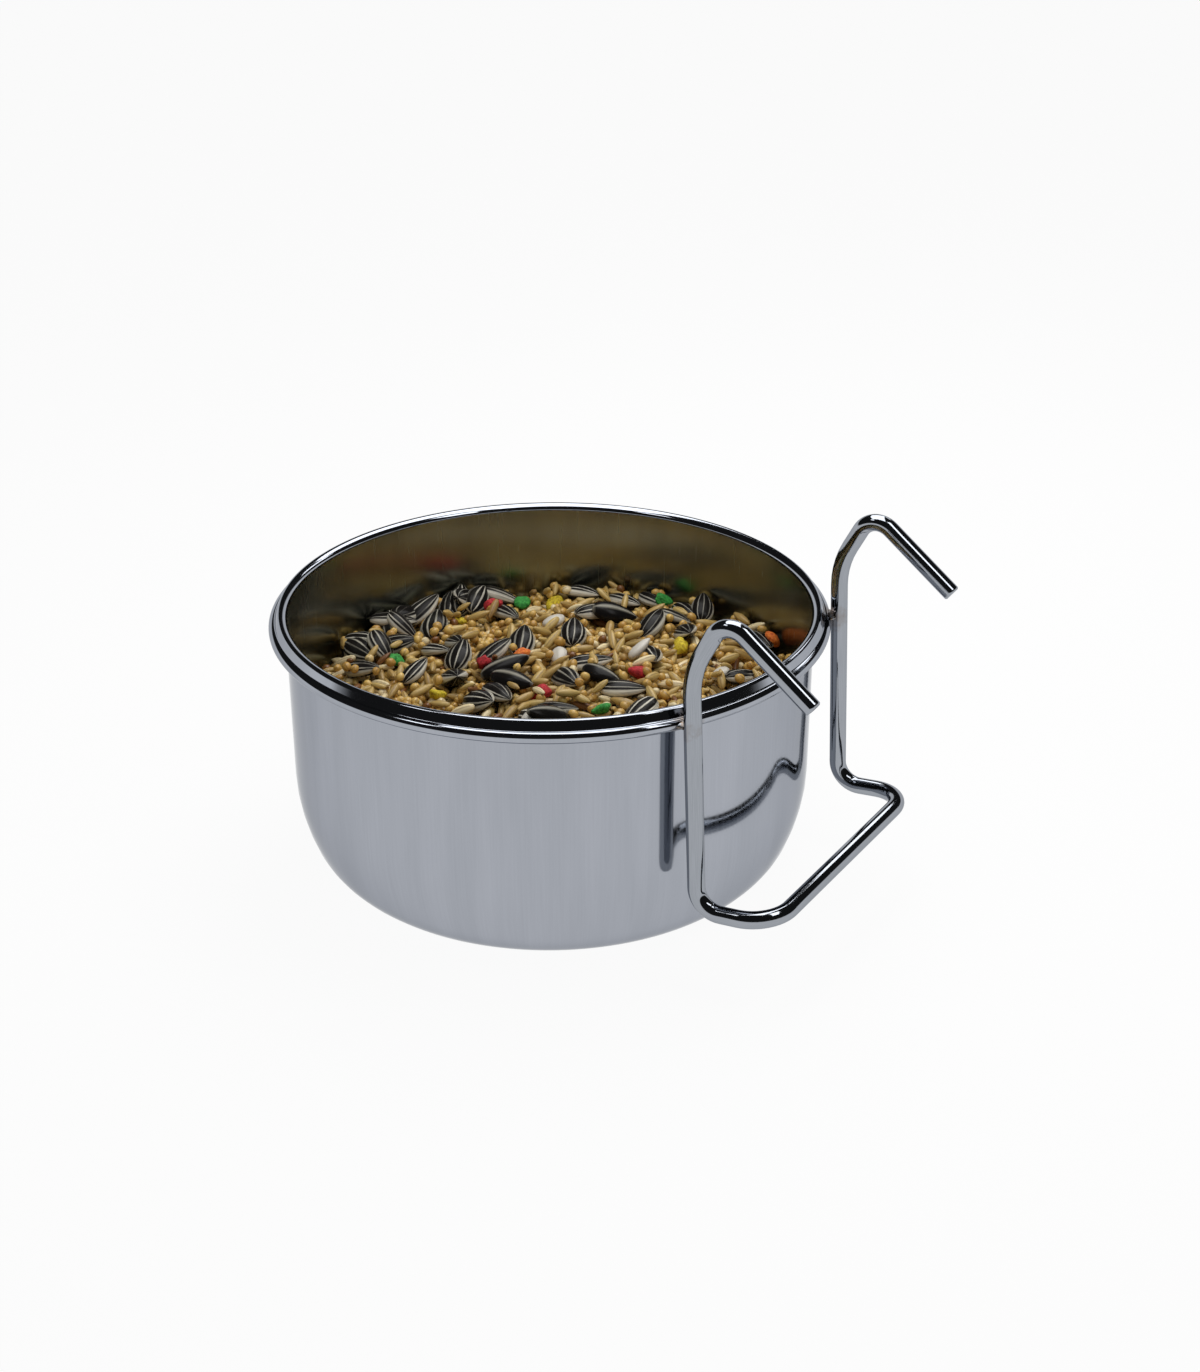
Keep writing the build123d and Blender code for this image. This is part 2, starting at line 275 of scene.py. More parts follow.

# Plain skins: darkest and lightest seed, colour that the ends and crease are blended to (painted shade where
# it is darker), roughness, share of streaks in the tone, shine, and whether some seeds are rusty or pale
# husks
GROAT_TONES = ((0.35, 0.20, 0.05), (0.70, 0.52, 0.19))
# Colour of the painted shade at the ends and in the crease of the grains
GROAT_END_AND_CREASE_SHADE = (0.16, 0.075, 0.02)
SKINS = {
    "black_hull": (*HULL_TONES, HULL_GREY, HULL_ROUGHNESS, 0.7, HULL_SHINE, False),
    "white_hull": ((0.55, 0.50, 0.42), (0.80, 0.78, 0.72), HULL_GREY, 0.4, 0.5, 0.5, False),
    "beige_grain": (*GROAT_TONES, GROAT_END_AND_CREASE_SHADE, 0.38, 0.5, 0.5, True),
    "golden_grain": ((0.45, 0.23, 0.045), (0.80, 0.55, 0.165), GROAT_END_AND_CREASE_SHADE, 0.27, 0.3, 0.5, True),
}
GRAIN_STREAKS = (14.0, 3.0)
GRAIN_BUMP = (0.25, 0.0002)
END_RANGE = (0.36, 0.5)
CREASE_PLACE = 0.25
CREASE_WIDTH = 0.05
CREASE_STRENGTH = 0.6
RUSTY_HUSK = (0.19, 0.075, 0.018)
RUSTY_CHANCE = (0.94, 0.95)
PALE_HUSK = (0.82, 0.68, 0.40)
PALE_CHANCE = (0.12, 0.10)

# Crumb skin, and the bulk: cells of grain size with dark joints, and darker tones on its top that are
# painted shade
CRUMB_ROUGHNESS = 0.75
CRUMB_SCALE = 1600.0
CRUMB_DETAIL = 4.0
CRUMB_BUMP = (0.8, 0.0004)
BULK_ROUGHNESS = 0.6
BULK_CELLS = 420.0
BULK_JOINT = (0.02, 0.011, 0.005)
BULK_JOINT_RANGE = (0.25, 0.75)
# Darker tones of the bulk's top: painted shade of the grains over it
BULK_PAINTED_SHADE_TONES = ((0.10, 0.055, 0.02), (0.26, 0.15, 0.05))
BULK_BUMP = (1.0, 0.001)

# Studio, in metres: a mostly white floor, walls that are bright up to a height which is greater at the back,
# a dark ceiling, an even soft light, and softboxes over the cup: how far behind and aside of it the camera
# sees them, their width and depth, and their turn in degrees
FLOOR_HALF = 8.0
FLOOR_COLOUR = (0.94, 0.94, 0.94)
FLOOR_WHITE_SHARE = 0.94
WALLS_RANGE = (0.12, 0.05)
BACKDROP_RISE = 0.22
WALLS_LIGHT = 1.0
CEILING_DARK = 0.015
SOFT_LIGHT = 0.28
WHITE = (1, 1, 1, 1)
SOFTBOX_ABOVE = 0.2
SOFTBOX_RADIANCE = 3.3
SOFTBOXES = {
    "overhead_softbox": (0.11, 0.03, 0.155, 0.31, -18),
    "side_softbox": (-0.10, 0.15, 0.07, 0.16, 30),
    "back_softbox": (0.279, 0.18, 0.07, 0.15, 39),
    "front_softbox": (-0.054, -0.138, 0.05, 0.05, 30),
}


def sin_deg(angle):
    """Sine of an angle in degrees."""
    return np.sin(np.radians(angle))


def cos_deg(angle):
    """Cosine of an angle in degrees."""
    return np.cos(np.radians(angle))


def unit(vector):
    """Vector of the same direction and of length one."""
    return vector / np.linalg.norm(vector)


def square_to(along, vector):
    """Direction of a vector less its part along a direction."""
    return unit(vector - (vector @ along) * along)


CAMERA_RIGHT = unit(np.cross(CAMERA_FORWARD, (0, 0, 1)))
CAMERA_UP = np.cross(CAMERA_RIGHT, CAMERA_FORWARD)
CAMERA_AWAY = unit(CAMERA_FORWARD[:2])


# Meshes

def in_scene(name, data):
    """New object in the scene, from a mesh, a camera or a lamp."""
    made = bpy.data.objects.new(name, data)
    bpy.context.scene.collection.objects.link(made)
    return made


def mesh_piece(name, points, faces, body, corner_uv=None, flat=None, **attributes):
    """Mesh object at the origin, riding on a body.

    points is (n, 3) in millimetres, faces index arrays with 3 or 4 corners a row, corner_uv a pair for each
    corner, flat a mask of faces that aren't smooth, and an attribute a value or vector for each point.
    """
    mesh = bpy.data.meshes.new(name)
    corners = np.concatenate([rows.ravel() for rows in faces]).astype(np.int32)
    sizes = np.concatenate([np.full(len(rows), rows.shape[1]) for rows in faces])
    mesh.vertices.add(len(points))
    mesh.vertices.foreach_set("co", (np.asarray(points) * MM).astype(np.float32).ravel())
    mesh.loops.add(len(corners))
    mesh.loops.foreach_set("vertex_index", corners)
    mesh.polygons.add(len(sizes))
    mesh.polygons.foreach_set("loop_start", (np.cumsum(sizes) - sizes).astype(np.int32))
    smooth = np.ones(len(sizes), bool) if flat is None else ~flat
    mesh.polygons.foreach_set("use_smooth", smooth)
    if corner_uv is not None:
        layer = mesh.uv_layers.new(name="skin")
        layer.data.foreach_set("uv", np.asarray(corner_uv, np.float32).ravel())
    for key, values in attributes.items():
        values = np.asarray(values, np.float32)
        kind, field = ("FLOAT", "value") if values.ndim == 1 else ("FLOAT_VECTOR", "vector")
        mesh.attributes.new(key, kind, "POINT").data.foreach_set(field, values.ravel())
    mesh.update(calc_edges=True)
    mesh.validate()
    piece = in_scene(name, mesh)
    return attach(piece, body)


def round_angles(sides):
    """Equal angles round a full turn, from zero."""
    return 2 * np.pi * np.arange(sides) / sides


def ring_faces(rows, count, flipped=False):
    """Quads between neighbouring rings of count points, closed round, with each corner's column and row.

    Corners go on one row, round one column and back one row, or in the other order if flipped.
    """
    row, col = np.meshgrid(np.arange(rows - 1), np.arange(count), indexing="ij")
    lines = row.reshape(-1, 1) + (0, 1, 1, 0)
    columns = col.reshape(-1, 1) + (0, 0, 1, 1)
    quads = lines * count + columns % count
    order = slice(None, None, -1 if flipped else 1)
    return quads[:, order], columns[:, order], lines[:, order]


def end_fans(rows, count):
    """Triangles that close the first and the last ring round two points that come after the rings."""
    col = np.arange(count)
    after = (col + 1) % count
    last = (rows - 1) * count
    first_fan = np.stack([np.full(count, rows * count), col, after], 1)
    last_fan = np.stack([np.full(count, rows * count + 1), last + after, last + col], 1)
    return first_fan, last_fan


# Bowl

def bowl_moves():
    """Mid-line of the sheet as runs (length, 0) and bends (radius, turn): base, corner, side, wall and rim.

    The rim is worked out from the bead inwards. Wall length and base radius are what is left below it.
    """
    half = SHEET / 2
    roll = ROLL_BEND + half
    lip = LIP_BEND + half
    groove = GROOVE_BEND + half
    bead = BEAD_BEND + half
    corner = CORNER_RADIUS - half
    side = SIDE_RADIUS - half
    groove_radius = RIM_RADIUS - half - bead + (groove + bead) * cos_deg(BEAD_START_ANGLE)
    groove_height = BEAD_HEIGHT + (groove + bead) * sin_deg(BEAD_START_ANGLE)
    skirt_top = CUP_HEIGHT - half - lip * (1 - sin_deg(SKIRT_ANGLE))
    skirt_foot = groove_height - groove * sin_deg(SKIRT_ANGLE)
    skirt = (skirt_top - skirt_foot) / cos_deg(SKIRT_ANGLE)
    crest_radius = groove_radius - (groove + lip) * cos_deg(SKIRT_ANGLE) - skirt * sin_deg(SKIRT_ANGLE)
    wall_top_radius = crest_radius - roll * cos_deg(WALL_DRAFT)
    wall_top_height = CUP_HEIGHT - half - roll * (1 - sin_deg(WALL_DRAFT))
    corner_rise = corner * (1 - sin_deg(SIDE_ANGLE))
    side_rise = side * (sin_deg(SIDE_ANGLE) - sin_deg(WALL_DRAFT))
    side_reach = side * (cos_deg(WALL_DRAFT) - cos_deg(SIDE_ANGLE))
    wall_length = (wall_top_height - half - corner_rise - side_rise) / cos_deg(WALL_DRAFT)
    wall_reach = wall_length * sin_deg(WALL_DRAFT)
    base_radius = wall_top_radius - wall_reach - side_reach - corner * cos_deg(SIDE_ANGLE)
    cup = [(base_radius, 0), (corner, 90 - SIDE_ANGLE), (side, SIDE_ANGLE - WALL_DRAFT), (wall_length, 0)]
    rim = [(roll, WALL_DRAFT - 90), (lip, SKIRT_ANGLE - 90), (skirt, 0),
           (groove, BEAD_START_ANGLE - SKIRT_ANGLE), (bead, CURL_END_HEADING - 270 - BEAD_START_ANGLE)]
    return cup, rim


def walk(moves, offset):
    """Line that keeps one offset to the left of a path of runs and bends, from the axis outwards.

    A run is point + along * t. A bend of radius R turns about a centre R to its left or right, and the line
    beside it has that centre and R less the offset, or plus it on a bend to the right. Gives each point as
    (radius, height), the length walked to it, and the number of its move.
    """
    point = np.array([0, SHEET / 2])
    heading = 0.0
    walked = 0.0
    points, lengths, numbers = [], [], []
    for number, (size, turn) in enumerate(moves):
        steps = max(1, int(np.ceil(abs(turn) / ARC_STEP if turn else size / RUN_STEP)))
        share = np.linspace(0, 1, steps + 1)[1 if number else 0:]
        angle = np.radians(heading + share * turn)
        left = np.stack([-np.sin(angle), np.cos(angle)], 1)
        first_left = np.array([-sin_deg(heading), cos_deg(heading)])
        if turn:
            side = np.sign(turn)
            centre = point + side * size * first_left
            middle = centre - side * size * left
            length = np.radians(abs(turn)) * size
        else:
            middle = point + np.outer(share * size, (cos_deg(heading), sin_deg(heading)))
            length = size
        points.append(middle + offset * left)
        lengths.append(walked + share * length)
        numbers.append(np.full(len(share), number))
        point = middle[-1]
        heading += turn
        walked += length
    return [np.concatenate(rows) for rows in (points, lengths, numbers)]


def turned_grid(profile, sides):
    """Surface of revolution: (r cos a, r sin a, z) for each profile point and each of the equal angles a.

    The first and last profile points lie on the axis, and each is one point closed by a fan.
    """
    angle = round_angles(sides)
    rings = profile[1:-1]
    grid = np.stack([np.outer(rings[:, 0], np.cos(angle)), np.outer(rings[:, 0], np.sin(angle)),
                     np.repeat(rings[:, 1:], sides, 1)], -1).reshape(-1, 3)
    points = np.concatenate([grid, [[0, 0, profile[0, 1]]], [[0, 0, profile[-1, 1]]]])
    quads, _, _ = ring_faces(len(rings), sides)
    return points, [quads, *end_fans(len(rings), sides)], angle


def spread(values, sides):
    """One value of each profile point for each point of the turned grid."""
    values = np.asarray(values, float)
    return np.concatenate([np.repeat(values[1:-1], sides), values[:1], values[-1:]])


def bowl_piece():
    """Bowl: the sheet's inside line out to the end of the curl, and its outside line back, turned about Z.

    Its brush lines follow the place round the rim and the length along the sheet.
    """
    cup, rim = bowl_moves()
    inside, length, number = walk(cup + rim, SHEET / 2)
    outside, _, _ = walk(cup + rim, -SHEET / 2)
    profile = np.concatenate([inside, outside[::-1]])
    walked = np.concatenate([length, length[::-1]])
    is_rim = np.concatenate([number, number[::-1]]) >= len(cup)
    is_outside = np.repeat([0, 1], len(inside))
    points, faces, angle = turned_grid(profile, BOWL_SIDES)
    rings = len(profile) - 2
    circle = np.stack([np.cos(angle), np.sin(angle)], 1) * RIM_RADIUS
    round_rim = np.concatenate([np.tile(circle, (rings, 1)), np.zeros((2, 2))])
    brushed = np.column_stack([round_rim, spread(walked, BOWL_SIDES)]) * MM
    piece = mesh_piece("bowl", points, faces, "cup", brushed=brushed, rim=spread(is_rim, BOWL_SIDES),
                       outside=spread(is_outside, BOWL_SIDES))
    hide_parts("bowl_shell")
    return piece


# Wire hanger

def hook_side(side):
    """Corners of one half of the hanger, from its tip down to the cross bar.

    The upright passes the bead's height at its clear distance and leans inwards above it.
    """
    y = side * WIRE_SPACING / 2
    lean = np.tan(np.radians(UPRIGHT_LEAN))
    knee_height = CUP_HEIGHT + KNEE_RISE
    knee = np.array([UPRIGHT_X - lean * (knee_height - BEAD_HEIGHT), y, knee_height])
    apex = knee + (SLANT_REACH, 0, SLANT_RISE)
    tip = apex + (ARM_REACH, 0, -ARM_DROP)
    heel = np.array([UPRIGHT_X + lean * (BEAD_HEIGHT - HEEL_HEIGHT), y, HEEL_HEIGHT])
    toe = heel + (LEG_REACH, 0, LEG_RISE)
    return [tip, apex, knee, heel, toe]


def run_points(start, end):
    """Even points along a straight run, from its start up to the last one before its end."""
    steps = int(np.ceil(np.linalg.norm(end - start) / RUN_STEP))
    return start + np.outer(np.arange(steps) / steps, end - start)


def rounded_path(corners, radii):
    """Points and directions along straight runs joined by tangent arcs.

    At a corner that turns by a, the arc of radius R starts R tan(a / 2) before it, about a centre R to the
    inside: centre - R inward cos(t) + R along sin(t), for t from 0 to a.
    """
    points, directions = [], []
    run_start = corners[0]
    for before, corner, after, radius in zip(corners[:-2], corners[1:-1], corners[2:], radii):
        along = unit(corner - before)
        onward = unit(after - corner)
        turn = np.arccos(along @ onward)
        inward = square_to(along, onward)
        bend_start = corner - along * radius * np.tan(turn / 2)
        steps = int(np.ceil(np.degrees(turn) / ARC_STEP))
        t = np.linspace(0, turn, steps + 1)[:, None]
        arc = bend_start + radius * (inward + along * np.sin(t) - inward * np.cos(t))
        run = run_points(run_start, bend_start)
        points += [run, arc[:-1]]
        directions += [np.repeat(along[None], len(run), 0), (along * np.cos(t) + inward * np.sin(t))[:-1]]
        run_start = arc[-1]
    run = np.concatenate([run_points(run_start, corners[-1]), corners[-1:]])
    points.append(run)
    directions.append(np.repeat(unit(corners[-1] - corners[-2])[None], len(run), 0))
    return np.concatenate(points), np.concatenate(directions)


def carried_sides(directions, first_side):
    """Side vectors carried along a path without twist: each is the last, less its part along the path."""
    sides = [first_side]
    for along in directions:
        sides.append(square_to(along, sides[-1]))
    return np.array(sides[1:])


def wire_piece():
    """Round section carried along the hanger's path, with each end cut square and its edge broken.

    A ring is centre + R (side cos a + third sin a). Two more rings near each end keep the broken edge sharp.
    """
    right = hook_side(-1)
    left = hook_side(1)
    radii = [APEX_RADIUS, KNEE_RADIUS, HEEL_RADIUS, TOE_RADIUS]
    path, along = rounded_path(np.array(right + left[::-1]), radii + radii[::-1])
    side = carried_sides(along, np.array([0.0, 1.0, 0.0]))
    for end, inner in ((0, 1), (-1, -1)):
        insets = path[end] + np.outer((TIP_CHAMFER, 2 * TIP_CHAMFER)[::inner], inner * along[end])
        path = np.insert(path, [inner, inner], insets, 0)
        along = np.insert(along, [inner, inner], along[end], 0)
        side = np.insert(side, [inner, inner], side[end], 0)
    radius = np.full(len(path), WIRE_DIAMETER / 2)
    radius[[0, -1]] -= TIP_CHAMFER
    third = np.cross(along, side)
    angle = round_angles(WIRE_SIDES)
    section = side[:, None] * np.cos(angle)[:, None] + third[:, None] * np.sin(angle)[:, None]
    rings = path[:, None] + radius[:, None, None] * section
    walked = np.concatenate([[0], np.cumsum(np.linalg.norm(np.diff(path, axis=0), axis=1))])
    points = np.concatenate([rings.reshape(-1, 3), path[:1], path[-1:]])
    quads, columns, lines = ring_faces(len(path), WIRE_SIDES, flipped=True)
    caps = np.concatenate(end_fans(len(path), WIRE_SIDES))[:, ::-1]
    broken_edge = (lines.min(1) == 0) | (lines.max(1) == len(path) - 1)
    quad_uv = np.stack([columns / WIRE_SIDES, walked[lines]], -1).reshape(-1, 2)
    piece = mesh_piece("hanger_wire", points, [quads, caps], "cup",
                       corner_uv=np.concatenate([quad_uv, np.zeros((caps.size, 2))]),
                       flat=np.concatenate([broken_edge, np.ones(len(caps), bool)]))
    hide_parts("wire_hanger")
    return piece


# Seeds

def pixel_ray(x, y):
    """Direction from the camera through a pixel: forward, plus right and up by its offset over f."""
    across = (np.asarray(x) - FRAME_WIDTH / 2) / FOCAL_PIXELS
    upward = (FRAME_HEIGHT / 2 - np.asarray(y)) / FOCAL_PIXELS
    return CAMERA_FORWARD + np.multiply.outer(across, CAMERA_RIGHT) + np.multiply.outer(upward, CAMERA_UP)


def heap_height(x, y):
    """Level of the seed: the edge, a crown that falls with the square of the radius, and a slope."""
    fall = (x**2 + y**2) / BED_RADIUS**2
    rightward = x * CAMERA_RIGHT[0] + y * CAMERA_RIGHT[1]
    return HEAP_EDGE + HEAP_CROWN * (1 - fall) + HEAP_TILT * rightward / BED_RADIUS


def pixel_on_heap(x, y):
    """Place on the heap that a pixel shows: its ray is cut with the level of the last guess, a few times."""
    ray = pixel_ray(x, y)
    height = np.full(len(ray), HEAP_EDGE)
    for _ in range(PIXEL_ROUNDS):
        place = CAMERA_PLACE + ray * ((height - CAMERA_PLACE[2]) / ray[:, 2])[:, None]
        height = heap_height(place[:, 0], place[:, 1])
    return place[:, :2]


def seen_places(rows):
    """Place, turn about Z and lift of each seed that is named by its pixel, its slant and its lift.

    The turn is the direction on the heap from the seed's pixel to one a pixel further along its slant.
    """
    rows = np.array(rows, float)
    slant = np.radians(rows[:, 2])
    place = pixel_on_heap(rows[:, 0], rows[:, 1])
    ahead = pixel_on_heap(rows[:, 0] + np.cos(slant), rows[:, 1] - np.sin(slant)) - place
    return np.column_stack([place, np.arctan2(ahead[:, 1], ahead[:, 0]), np.radians(rows[:, 3])])


def random_places(count, random):
    """Places spread evenly over the bed: the radius is R times the root of a random share, at any angle."""
    radius = BED_RADIUS * np.sqrt(random.random(count))
    angle = 2 * np.pi * random.random(count)
    return radius[:, None] * np.stack([np.cos(angle), np.sin(angle)], 1)


def hidden_places(count, random):
    """Places on the part of the heap that the cup's front wall hides, with any turn and a small lift."""
    place = random_places(HIDDEN_DRAWS, random)
    chosen = place[place @ CAMERA_AWAY < HIDDEN_DEPTH][:count]
    return np.column_stack([chosen, 2 * np.pi * random.random(count), HIDDEN_LIFT * random.random(count)])


class Heap:
    """Height field of the seed, on a square grid over the cup, that grains come to rest on one by one."""

    def __init__(self):
        """Field at the filled level less the depth of loose grain."""
        self.line = np.arange(-BED_RADIUS, BED_RADIUS + FIELD_STEP, FIELD_STEP)
        x, y = np.meshgrid(self.line, self.line, indexing="ij")
        self.full = heap_height(x, y)
        self.level = self.full - HEAP_DEPTH

    def index(self, value):
        """Number of the grid line nearest to a value of x or y."""
        return np.clip(np.round((value + BED_RADIUS) / FIELD_STEP).astype(int), 0, len(self.line) - 1)

    def lowest(self, places):
        """The place of several that is furthest under the full level."""
        i, j = self.index(places[:, 0]), self.index(places[:, 1])
        return places[np.argmax(self.full[i, j] - self.level[i, j])]

    def rest(self, size, x, y, turn, lift):
        """Centre and axes of a grain that is laid on the field, which is raised to its top.

        The grain counts as an ellipsoid. Lying, it takes the slope of the plane that fits the field under it
        best. Lifted, it keeps its own lift, with half sizes a' = sqrt((a cos)^2 + (c sin)^2) along and
        c' = sqrt((a sin)^2 + (c cos)^2) in height. It sinks until it clears only a share of the field.
        """
        a, b, c = np.array(size) / 2
        lean = [np.cos(turn), np.sin(turn)]
        x, y = inside_cup(x, y, lean, a * np.cos(lift), b)
        a_flat = np.hypot(a * np.cos(lift), c * np.sin(lift))
        c_flat = np.hypot(a * np.sin(lift), c * np.cos(lift))
        most = max(a_flat, b)
        i0, i1 = self.index(x - most), self.index(x + most) + 1
        j0, j1 = self.index(y - most), self.index(y + most) + 1
        dx, dy = np.meshgrid(self.line[i0:i1] - x, self.line[j0:j1] - y, indexing="ij")
        u = dx * lean[0] + dy * lean[1]
        v = dy * lean[0] - dx * lean[1]
        reach = (u / a_flat) ** 2 + (v / b) ** 2
        under = reach < 1
        patch = self.level[i0:i1, j0:j1]
        slope_u, slope_v = 0.0, 0.0
        if lift < LYING and under.sum() > FEW_POINTS:
            spans = np.column_stack([np.ones(under.sum()), u[under], v[under]])
            fitted = np.linalg.lstsq(spans, patch[under], rcond=None)[0]
            slope_u, slope_v = np.clip(fitted[1:], -STEEPEST, STEEPEST)
        tilt = slope_u * u[under] + slope_v * v[under]
        dome = c_flat * np.sqrt(1 - reach[under])
        height = np.quantile(patch[under] - tilt + dome, SETTLED_SHARE)
        height = min(height, heap_height(x, y) + HIGHEST)
        patch[under] = np.maximum(patch[under], height + tilt + dome)
        rise = slope_u + np.tan(lift)
        along = unit(np.array([lean[0], lean[1], rise]))
        across = square_to(along, np.array([-lean[1], lean[0], slope_v]))
        return np.array([x, y, height]), np.stack([along, across, np.cross(along, across)], 1)


def inside_cup(x, y, lean, half_length, half_width):
    """Nearest place towards the axis at which both ends and both sides of a lying grain clear the wall."""
    place = np.array([x, y])
    ahead = half_length * np.array(lean)
    aside = half_width * np.array([-lean[1], lean[0]])
    reaches = np.array([ahead, -ahead, aside, -aside])
    while np.linalg.norm(place + reaches, axis=1).max() > BED_RADIUS:
        place = place * PULL_IN
    return place


def fill_heap():
    """Where every grain lies, by kind, as lists of centre, axes and scale.

    Small grains come first and last, each at the lowest of a few random places. The seeds that the photo
    shows or the front wall hides come between, so that some of them end up half buried.
    """
    random = np.random.default_rng(RANDOM_SEED)
    heap = Heap()
    laid = {kind: [] for kind in KINDS}

    def lay(kind, x, y, turn, lift):
        """One grain of a random scale, 1 give or take its kind's spread, laid on the heap."""
        scale = 1 + KINDS[kind].spread * (random.random() - 0.5) * 2
        centre, axes = heap.rest(np.array(KINDS[kind].size) * scale, x, y, turn, lift)
        laid[kind].append((centre, axes, scale))

    def scatter(counts):
        """So many small grains of each kind, in random order and each with a random turn."""
        for kind in random.permutation(np.repeat(list(counts), list(counts.values()))):
            x, y = heap.lowest(random_places(LOW_PLACES, random))
            lay(kind, x, y, 2 * np.pi * random.random(), 0.0)

    scatter(GRAINS_UNDER)
    big = [(kind, row) for kind, rows in SEEN.items() for row in seen_places(rows)]
    big += [(kind, row) for kind, count in HIDDEN.items() for row in hidden_places(count, random)]
    for kind, row in big:
        lay(kind, *row)
    scatter(GRAINS_OVER)
    return laid


def grain_outline(kind, rings):
    """Places and half sizes along a grain, tail to tip, as shares: t = -cos(pi s), with s even along it.

    The width is (1 - t^2)^e (1 - k t) over its greatest value, where k draws in the tip and e grows from one
    half at the round tail to more at the pointed tip. The thickness is that width to a power under one.
    """
    taper, point, fullness = KINDS[kind].outline
    share = np.linspace(0, 1, rings + 2)
    t = -np.cos(np.pi * share)

    def width_at(t):
        """Width at a place along the grain, before it is divided by the greatest."""
        return np.clip(1 - t**2, 0, 1) ** (0.5 + point * (1 + t) / 2) * (1 - taper * t)

    width = width_at(t) / width_at(np.linspace(-1, 1, OUTLINE_SAMPLES)).max()
    return share, t, width, width**fullness


def grain_shape(kind):
    """One grain along X, one unit in half size each way: points, faces and each corner's skin place.

    A ring is the curve (t, w cos|cos|^m, h sin|sin|^m), which m over zero makes a lens with two edges.
    """
    rings, sides = KINDS[kind].mesh
    share, t, width, height = grain_outline(kind, rings)
    angle = round_angles(sides)
    lens = KINDS[kind].lens
    y = np.cos(angle) * np.abs(np.cos(angle)) ** lens
    z = np.sin(angle) * np.abs(np.sin(angle)) ** lens
    inner = slice(1, rings + 1)
    grid = np.stack([np.repeat(t[inner, None], sides, 1), np.outer(width[inner], y),
                     np.outer(height[inner], z)], -1)
    points = np.concatenate([grid.reshape(-1, 3), [[-1, 0, 0], [1, 0, 0]]])
    quads, columns, lines = ring_faces(rings, sides, flipped=True)
    fans = np.concatenate(end_fans(rings, sides))[:, [0, 2, 1]]
    quad_uv = np.stack([columns / sides, share[inner][lines]], -1).reshape(-1, 2)
    fan_uv = []
    # Each triangle of a fan: the end itself, half a step round, and two places on the ring next to it
    for end, ring, places in ((0, share[1], (0.5, 1, 0)), (1, share[rings], (0.5, 0, 1))):
        around = (np.arange(sides)[:, None] + places) / sides
        fan_uv.append(np.stack([around, np.tile((end, ring, ring), (sides, 1))], -1))
    return points, quads, fans, quad_uv, np.concatenate(fan_uv).reshape(-1, 2)


def lumps(kind, shape, copies, random):
    """Factor on each point of each copy: 1 plus its lumpiness times a mean of random cosines."""
    waves = random.normal(size=(copies, LUMP_WAVES, 3)) * LUMP_PITCH
    phase = random.random((copies, LUMP_WAVES, 1)) * 2 * np.pi
    swell = np.cos(np.einsum("nkj,vj->nkv", waves, shape) + phase).mean(1)
    return (1 + KINDS[kind].lumpy * swell)[:, :, None]


def grain_piece(name, kind, laid, replaced):
    """All grains of one kind as one piece: each copy is centre + axes (half sizes x unit grain)."""
    random = np.random.default_rng(RANDOM_SEED + len(name))
    shape, quads, fans, quad_uv, fan_uv = grain_shape(kind)
    centres, axes, scale = (np.array(column) for column in zip(*laid))
    copies = len(laid)
    half_sizes = np.array(KINDS[kind].size) / 2
    local = shape * lumps(kind, shape, copies, random) * half_sizes * scale[:, None, None]
    points = centres[:, None] + np.einsum("nij,nvj->nvi", axes, local)
    step = np.arange(copies)[:, None, None] * len(shape)
    faces = [(quads + step).reshape(-1, 4), (fans + step).reshape(-1, 3)]
    uv = np.concatenate([np.tile(quad_uv, (copies, 1)), np.tile(fan_uv, (copies, 1))])
    piece = mesh_piece(name, points.reshape(-1, 3), faces, "seed_fill", corner_uv=uv,
                       grain=np.repeat(random.random(copies), len(shape)))
    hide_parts(replaced)
    return piece


def bed_piece():
    """Bulk of the seed: the bowl's inside less a clearance, closed by the heap's level less a sink.

    Its profile runs from the axis over the top to the wall and back along the bowl. The top's points, with
    the one on the axis, which is last but one, are then moved to their level.
    """
    cup, _ = bowl_moves()
    beside_bowl, _, _ = walk(cup, SHEET / 2 + SEED_CLEARANCE)
    below = beside_bowl[beside_bowl[:, 1] < BED_WALL_TOP]
    radii = np.append(np.arange(0, BED_RADIUS, BED_TOP_STEP), BED_RADIUS)
    top = np.stack([radii, np.full(len(radii), HEAP_EDGE)], 1)
    points, faces, _ = turned_grid(np.concatenate([top, below[::-1]]), BED_SIDES)
    on_top = [*range((len(radii) - 1) * BED_SIDES), -2]
    points[on_top, 2] = heap_height(points[on_top, 0], points[on_top, 1]) - BED_SINK
    piece = mesh_piece("seed_bulk", points, faces, "seed_fill")
    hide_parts("seed_bed")
    return piece


# Materials

def node(tree, kind, inputs=None, **settings):
    """New shader node; inputs are by socket name or number, each a value or another node's output."""
    made = tree.nodes.new("ShaderNode" + kind)
    for key, value in settings.items():
        setattr(made, key, value)
    for socket, value in (inputs or {}).items():
        if isinstance(value, bpy.types.NodeSocket):
            tree.links.new(value, made.inputs[socket])
        else:
            made.inputs[socket].default_value = value
    return made


def maths(operation, *values):
    """Result of one operation on values and other nodes' outputs, in the tree of the first output."""
    tree = next(value.id_data for value in values if isinstance(value, bpy.types.NodeSocket))
    return node(tree, "Math", dict(enumerate(values)), operation=operation).outputs[0]


def between(value, low, high, to_low=0.0, to_high=1.0):
    """Value mapped from low..high to to_low..to_high and held there."""
    inputs = {"Value": value, "From Min": low, "From Max": high, "To Min": to_low, "To Max": to_high}
    return node(value.id_data, "MapRange", inputs).outputs[0]


def mixed(factor, first, second):
    """Colour from first (factor 0) to second (factor 1)."""
    inputs = {0: factor}
    for number, colour in ((6, first), (7, second)):
        inputs[number] = colour if isinstance(colour, bpy.types.NodeSocket) else (*colour, 1)
    return node(factor.id_data, "Mix", inputs, data_type="RGBA").outputs[2]


